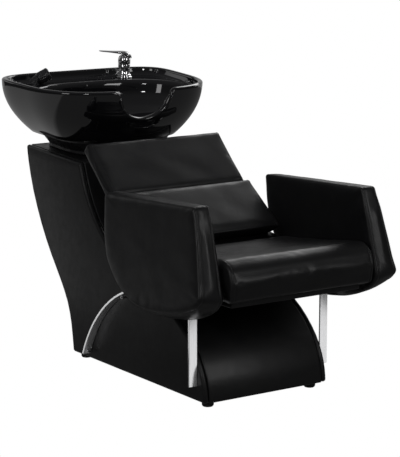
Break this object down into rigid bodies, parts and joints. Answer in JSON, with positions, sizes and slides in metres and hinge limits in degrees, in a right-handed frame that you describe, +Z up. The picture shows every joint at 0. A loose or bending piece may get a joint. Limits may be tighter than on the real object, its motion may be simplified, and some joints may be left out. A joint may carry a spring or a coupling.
{
  "type": "shampoo backwash unit",
  "caption": "Salon backwash unit: upholstered seat, arms and reclined back on a bar frame, with a tilting ceramic shampoo basin, mixer tap and hand shower on a column.",
  "frame": {"origin": "on the floor, under the middle of the object's bounding box", "axes": "+Z up, -Y the way the sitter faces, +Y towards the basin, +X the sitter's left"},
  "size_m": [0.789, 1.4012, 1.0324],
  "materials": {
    "leatherette": "satin",
    "plywood": "matte",
    "satin_chrome": "satin",
    "black_steel": "satin",
    "rubber": "matte",
    "black_ceramic": "gloss",
    "chrome": "polished",
    "black_plastic": "satin",
    "braided_steel": "satin"
  },
  "bodies": {
    "base": {"side_panel_left": "leatherette", "side_panel_right": "leatherette", "column_front_panel": "leatherette", "plinth_front_panel": "leatherette", "rear_access_panel": "leatherette", "rear_panel": "leatherette", "top_board": "leatherette", "floor_board": "plywood", "foot_front_left": "rubber", "foot_front_right": "rubber", "foot_rear_left": "rubber", "foot_rear_right": "rubber", "side_bar_left": "satin_chrome", "side_bar_right": "satin_chrome", "bar_bolt_front_left": "chrome", "bar_bolt_front_right": "chrome", "bar_bolt_rear_upper_left": "chrome", "bar_bolt_rear_upper_right": "chrome", "bar_bolt_rear_lower_left": "chrome", "bar_bolt_rear_lower_right": "chrome", "seat_cushion": "leatherette", "seat_board": "leatherette", "seat_rear_rail": "leatherette", "seat_beam_front": "black_steel", "seat_beam_rear": "black_steel", "arm_left": "leatherette", "arm_right": "leatherette", "arm_bracket_left": "black_steel", "arm_bracket_right": "black_steel", "upper_back_cushion": "leatherette", "lower_back_cushion": "leatherette", "back_board": "leatherette", "back_bracket_left": "black_steel", "back_bracket_right": "black_steel", "pedestal_plate": "black_steel", "pedestal_shroud": "black_plastic", "tilt_pin": "chrome", "tilt_nut_left": "chrome", "tilt_nut_right": "chrome"},
    "bowl": {"bowl": "black_ceramic", "bowl_cradle": "black_steel", "waste_flange": "chrome", "waste_locknut": "black_plastic", "drain_hose": "black_plastic", "mixer_escutcheon": "chrome", "mixer_body": "chrome", "mixer_shank": "chrome", "mixer_locknut": "chrome", "hot_hose": "braided_steel", "cold_hose": "braided_steel", "hot_hose_nut": "chrome", "cold_hose_nut": "chrome", "shower_socket": "black_plastic", "shower_hose": "braided_steel"},
    "mixer_swivel": {"mixer_dome": "chrome"},
    "mixer_lever": {"mixer_lever": "chrome"},
    "hand_shower": {"shower_handle": "black_plastic", "shower_spray_plate": "black_plastic"},
    "strainer": {"strainer": "chrome"}
  },
  "joints": [
    {"name": "bowl_tilt", "type": "hinge", "parent": "base", "child": "bowl", "pos_m": [0, 0.41185, 0.73467], "axis": [1, 0, 0], "range_deg": [0, 10]},
    {"name": "mixer_turn", "type": "hinge", "parent": "bowl", "child": "mixer_swivel", "pos_m": [0.18, 0.63964, 0.97392], "axis": [0, -0.0523, 0.9986], "range_deg": [-45, 45]},
    {"name": "mixer_lift", "type": "hinge", "parent": "mixer_swivel", "child": "mixer_lever", "pos_m": [0.19691, 0.63237, 0.99506], "axis": [0.342, 0.9384, 0.0492], "range_deg": [0, 20]},
    {"name": "hand_shower_lift", "type": "slide", "parent": "bowl", "child": "hand_shower", "axis": [0.6018, -0.1416, 0.786], "range_m": [0, 0.12]},
    {"name": "strainer_lift", "type": "slide", "parent": "bowl", "child": "strainer", "axis": [0, -0.0523, 0.9986], "range_m": [0, 0.05]}
  ]
}
